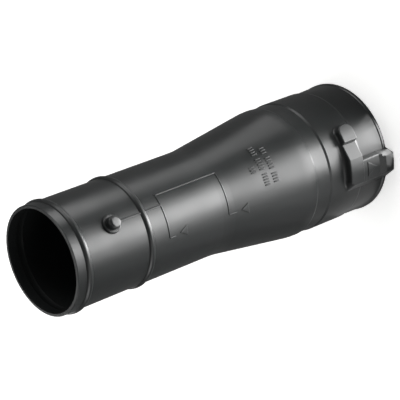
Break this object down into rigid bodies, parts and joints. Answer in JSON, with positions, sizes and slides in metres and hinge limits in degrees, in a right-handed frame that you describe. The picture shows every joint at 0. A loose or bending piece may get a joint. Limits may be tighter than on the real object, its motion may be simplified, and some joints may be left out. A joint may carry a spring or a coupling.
{
  "type": "blower connecting tube",
  "caption": "One-piece moulded reducer tube for a garden blower: a plain neck with sealing beads and a bayonet peg flares to a wide socket with a hollow bayonet track.",
  "frame": {"origin": "Centre of the wide mouth, on the tube's axis, in the plane of the rim that the part stands on.", "axes": "+Z runs along the axis from the wide mouth to the tip of the neck. +X passes through the entry of the bayonet track. +Y completes the right-handed frame."},
  "size_m": [0.095, 0.0882, 0.255],
  "materials": {
    "body": "satin black"
  },
  "bodies": {
    "root": {"connecting_tube": "body"}
  },
  "joints": []
}
